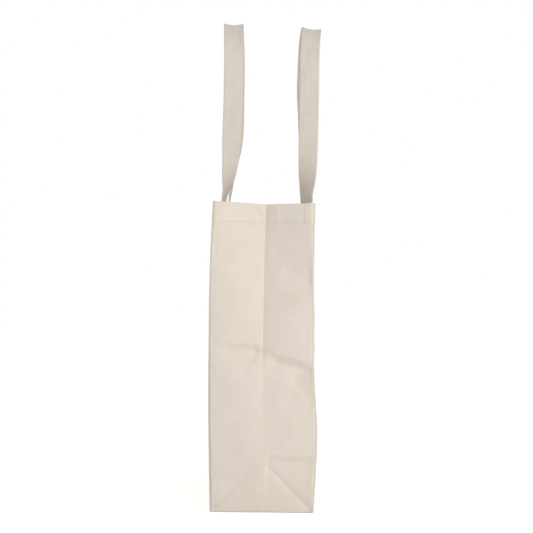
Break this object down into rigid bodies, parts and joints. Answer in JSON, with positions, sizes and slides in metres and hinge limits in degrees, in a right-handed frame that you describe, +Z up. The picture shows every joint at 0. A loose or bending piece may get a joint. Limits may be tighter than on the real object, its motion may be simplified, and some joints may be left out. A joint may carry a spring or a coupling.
{
  "type": "tote bag",
  "caption": "Plain cotton tote bag standing open, with side gussets folded in at the mouth, a turned stitched hem and webbing handles that swing over the rim.",
  "frame": {"origin": "middle of the base, on the surface that the bag stands on", "axes": "+Z up towards the handles, X along the bag's width from the left gusset to the right one, Y along its depth with the front panel facing -Y"},
  "size_m": [0.3574, 0.1316, 0.615],
  "materials": {
    "canvas": "undyed plain-weave cotton, matte, with slubs and small dark seed flecks",
    "webbing": "undyed heavy cotton tape, matte, twilled, with corded edges",
    "thread": "undyed sewing thread, slightly glossy"
  },
  "bodies": {
    "box": {"base_panel": "canvas", "base_stitching": "thread", "left_gusset": "canvas", "right_gusset": "canvas", "left_hem_stitching": "thread", "right_hem_stitching": "thread"},
    "front_side": {"front_panel": "canvas", "front_hem_stitching": "thread", "front_left_handle_end": "webbing", "front_left_tack": "thread", "front_left_corner_stitching": "thread", "front_left_overlock": "thread", "front_right_handle_end": "webbing", "front_right_tack": "thread", "front_right_corner_stitching": "thread", "front_right_overlock": "thread"},
    "rear_side": {"rear_panel": "canvas", "rear_hem_stitching": "thread", "rear_left_handle_end": "webbing", "rear_left_tack": "thread", "rear_left_corner_stitching": "thread", "rear_left_overlock": "thread", "rear_right_handle_end": "webbing", "rear_right_tack": "thread", "rear_right_corner_stitching": "thread", "rear_right_overlock": "thread"},
    "front_loop": {"front_handle": "webbing"},
    "rear_loop": {"rear_handle": "webbing"}
  },
  "joints": [
    {"name": "front_panel_lean", "type": "hinge", "parent": "box", "child": "front_side", "pos_m": [0, -0.0628, 0], "axis": [-1, 0, 0], "range_deg": [0, 3.2], "deforming": ["left_gusset", "right_gusset", "left_hem_stitching", "right_hem_stitching"]},
    {"name": "rear_panel_lean", "type": "hinge", "parent": "box", "child": "rear_side", "pos_m": [0, 0.0628, 0], "axis": [1, 0, 0], "range_deg": [0, 3.2], "deforming": ["left_gusset", "right_gusset", "left_hem_stitching", "right_hem_stitching"]},
    {"name": "front_handle_swing", "type": "hinge", "parent": "front_side", "child": "front_loop", "pos_m": [0, -0.0563, 0.37], "axis": [1, 0, 0], "range_deg": [0, 160]},
    {"name": "rear_handle_swing", "type": "hinge", "parent": "rear_side", "child": "rear_loop", "pos_m": [0, 0.0573, 0.37], "axis": [-1, 0, 0], "range_deg": [0, 160]}
  ]
}
